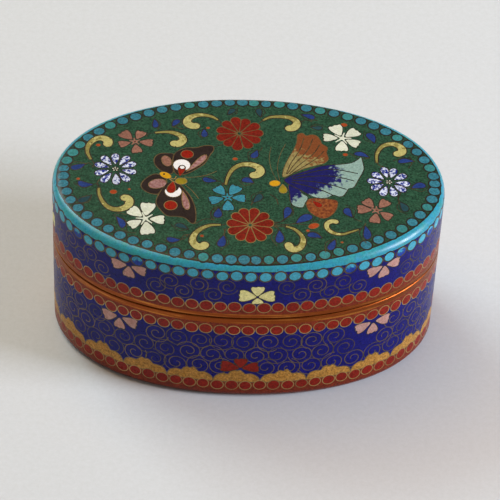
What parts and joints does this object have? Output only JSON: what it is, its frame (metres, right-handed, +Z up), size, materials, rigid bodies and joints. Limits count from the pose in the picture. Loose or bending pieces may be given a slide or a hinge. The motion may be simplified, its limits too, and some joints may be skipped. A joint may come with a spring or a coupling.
{
  "type": "cloisonne enamel box",
  "caption": "Small oval box of enamelled copper with bare copper rims and a domed lid that lifts off.",
  "frame": {"origin": "middle of the flat underside", "axes": "+X along the long side of the oval, +Y towards the back of the box, +Z up through the lid"},
  "size_m": [0.08, 0.052, 0.038],
  "materials": {
    "enamel_base": "semi-gloss cloisonne enamel, mostly cobalt blue, ground smooth",
    "enamel_lid": "semi-gloss cloisonne enamel, green field with turquoise border, ground smooth",
    "copper_rim": "polished copper, lightly tarnished"
  },
  "bodies": {
    "root": {"base": "enamel_base", "base_rim": "copper_rim", "lid": "enamel_lid", "lid_rim": "copper_rim"}
  },
  "joints": []
}
